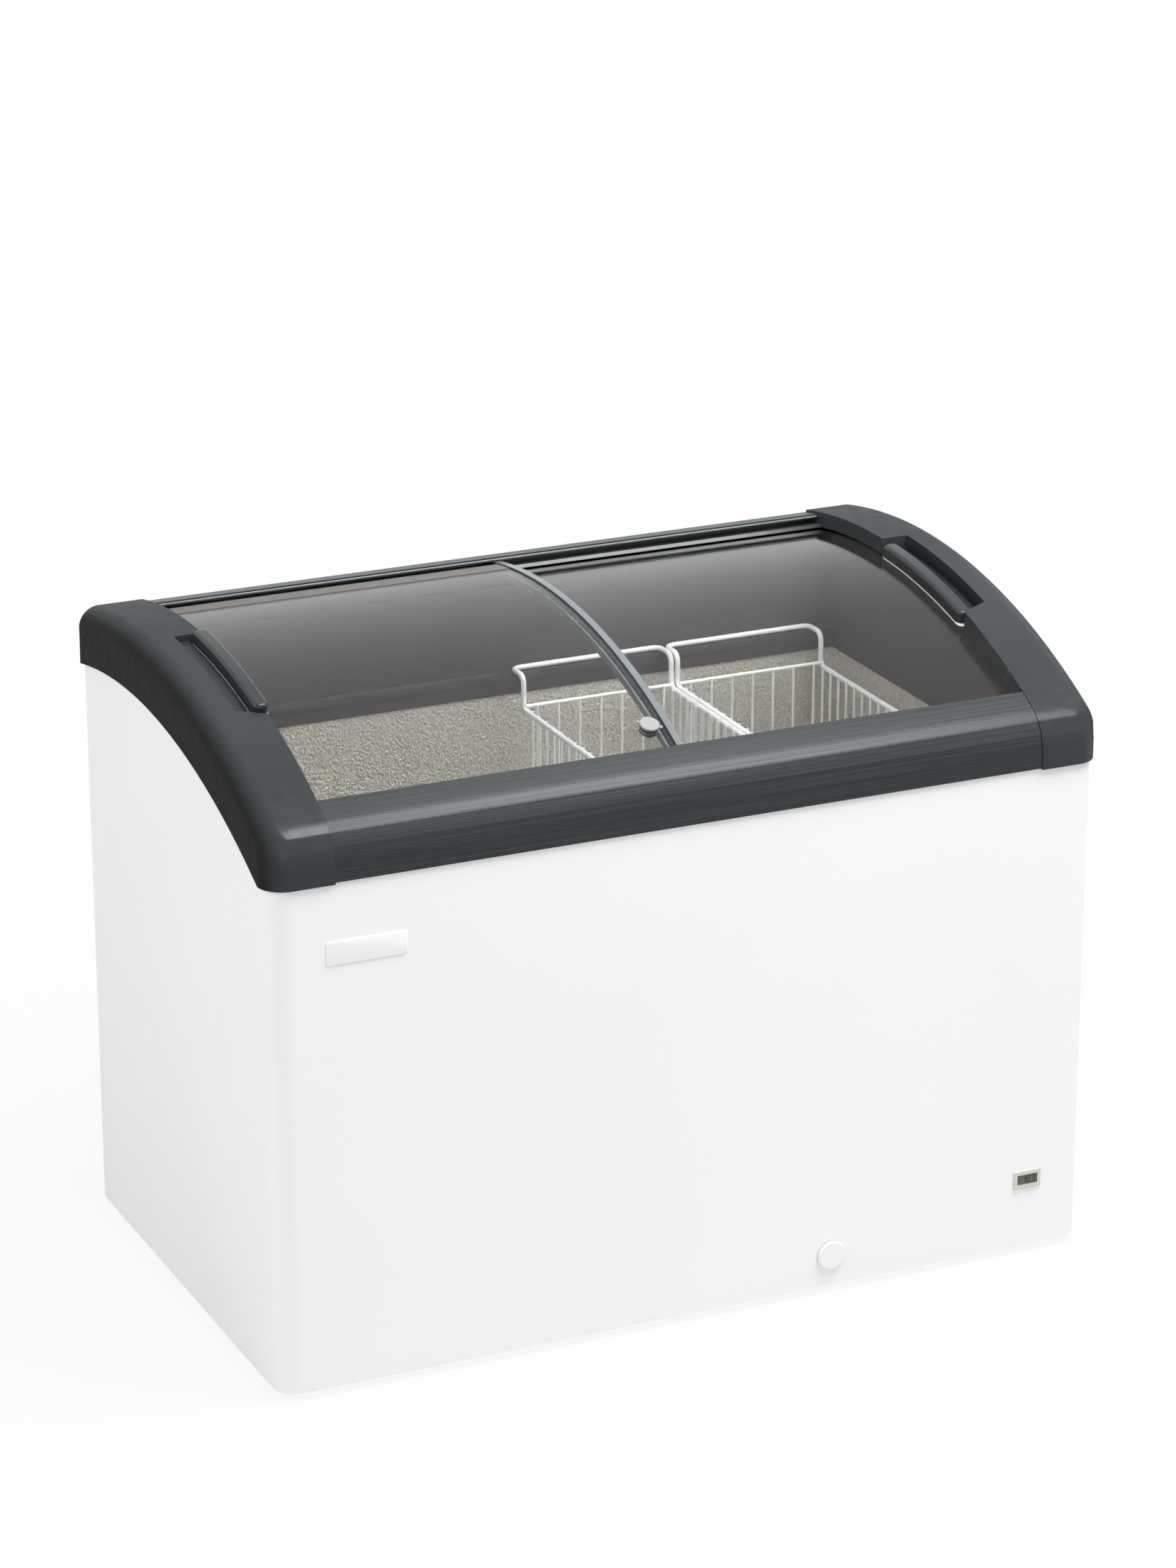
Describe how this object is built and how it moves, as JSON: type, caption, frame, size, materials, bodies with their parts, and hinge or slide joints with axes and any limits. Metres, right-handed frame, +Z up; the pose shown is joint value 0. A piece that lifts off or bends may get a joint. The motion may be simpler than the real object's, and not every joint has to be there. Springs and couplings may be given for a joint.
{
  "type": "ice cream freezer",
  "caption": "Chest freezer with a curved canopy, sliding curved glass lids between moulded end caps, an open tank and wire baskets hung on a ledge.",
  "frame": {"origin": "on the floor, under the middle of the cabinet's width and depth", "axes": "+Z up, +X along the width to the right seen from the front, -Y to the front"},
  "size_m": [1.21, 0.7, 0.9207],
  "materials": {
    "white_sheet": "gloss",
    "zinc_sheet": "satin",
    "foam": "matte",
    "liner_aluminium": "stucco embossed",
    "collar_plastic": "satin",
    "slate_plastic": "satin",
    "slate_rail": "drawn lengthwise",
    "track_aluminium": "satin",
    "lid_glass": "clear",
    "runner_plastic": "matte",
    "edge_plastic": "clear tint",
    "handle_plastic": "satin",
    "pad_white": "matte",
    "lock_chrome": "polished",
    "lock_grey": "satin",
    "basket_white": "plastic coated",
    "copper": "bare",
    "steel_tube": "coated",
    "compressor_black": "satin",
    "rubber_black": "matte",
    "black_plastic": "matte",
    "white_plastic": "satin",
    "gauge_grey": "satin",
    "display_glass": "gloss",
    "badge_white": "satin"
  },
  "bodies": {
    "cabinet": {"outer_shell": "white_sheet", "back_panel": "white_sheet", "base_pan": "zinc_sheet", "glide_feet": "black_plastic", "insulation_foam": "foam", "inner_liner": "liner_aluminium", "liner_collar": "collar_plastic", "left_end_cap": "slate_plastic", "right_end_cap": "slate_plastic", "front_rail": "slate_rail", "rear_rail": "slate_rail", "rear_track": "track_aluminium", "machine_hood": "zinc_sheet", "evaporator_coil": "copper", "condenser_coil": "steel_tube", "compressor": "compressor_black", "compressor_mounts": "rubber_black", "relay_box": "black_plastic", "suction_pipe": "copper", "discharge_pipe": "copper", "filter_drier": "copper", "capillary_tube": "copper", "drain_pipe": "white_plastic", "drain_seal": "rubber_black", "gauge_housing": "gauge_grey", "gauge_display": "display_glass", "badge_plate": "badge_white", "rear_grille": "black_plastic", "thermostat_body": "white_plastic", "cable_gland": "black_plastic"},
    "left_lid": {"left_lid_glass": "lid_glass", "left_lid_front_runner": "runner_plastic", "left_lid_rear_runner": "runner_plastic", "left_lid_edge_strip": "edge_plastic", "left_lid_handle": "handle_plastic", "left_lid_handle_pad": "pad_white", "lock_barrel": "lock_chrome"},
    "right_lid": {"right_lid_glass": "lid_glass", "right_lid_front_runner": "runner_plastic", "right_lid_rear_runner": "runner_plastic", "right_lid_edge_strip": "edge_plastic", "right_lid_handle": "handle_plastic", "right_lid_handle_pad": "pad_white"},
    "lid_lock": {"lock_plunger": "lock_grey"},
    "left_wire_basket": {"left_basket": "basket_white"},
    "right_wire_basket": {"right_basket": "basket_white"},
    "drain_plug": {"drain_cap": "white_plastic"},
    "thermostat_dial": {"thermostat_knob": "black_plastic"}
  },
  "joints": [
    {"name": "left_lid_slide", "type": "slide", "parent": "cabinet", "child": "left_lid", "axis": [1, 0, 0], "range_m": [0, 0.485]},
    {"name": "right_lid_slide", "type": "slide", "parent": "cabinet", "child": "right_lid", "axis": [1, 0, 0], "range_m": [-0.485, 0]},
    {"name": "lid_lock_press", "type": "slide", "parent": "left_lid", "child": "lid_lock", "axis": [0, 0.4035, -0.915], "range_m": [0, 0.004], "stiffness_N_per_m": 300},
    {"name": "left_basket_slide", "type": "slide", "parent": "cabinet", "child": "left_wire_basket", "axis": [1, 0, 0], "range_m": [-0.52, 0]},
    {"name": "right_basket_lift", "type": "slide", "parent": "cabinet", "child": "right_wire_basket", "axis": [0, 0, 1], "range_m": [0, 0.018]},
    {"name": "drain_cap_pull", "type": "slide", "parent": "cabinet", "child": "drain_plug", "axis": [0, -1, 0], "range_m": [0, 0.03]},
    {"name": "thermostat_turn", "type": "hinge", "parent": "cabinet", "child": "thermostat_dial", "pos_m": [0.5335, 0.331, 0.1871], "axis": [0, 1, 0], "range_deg": [0, 270]}
  ]
}
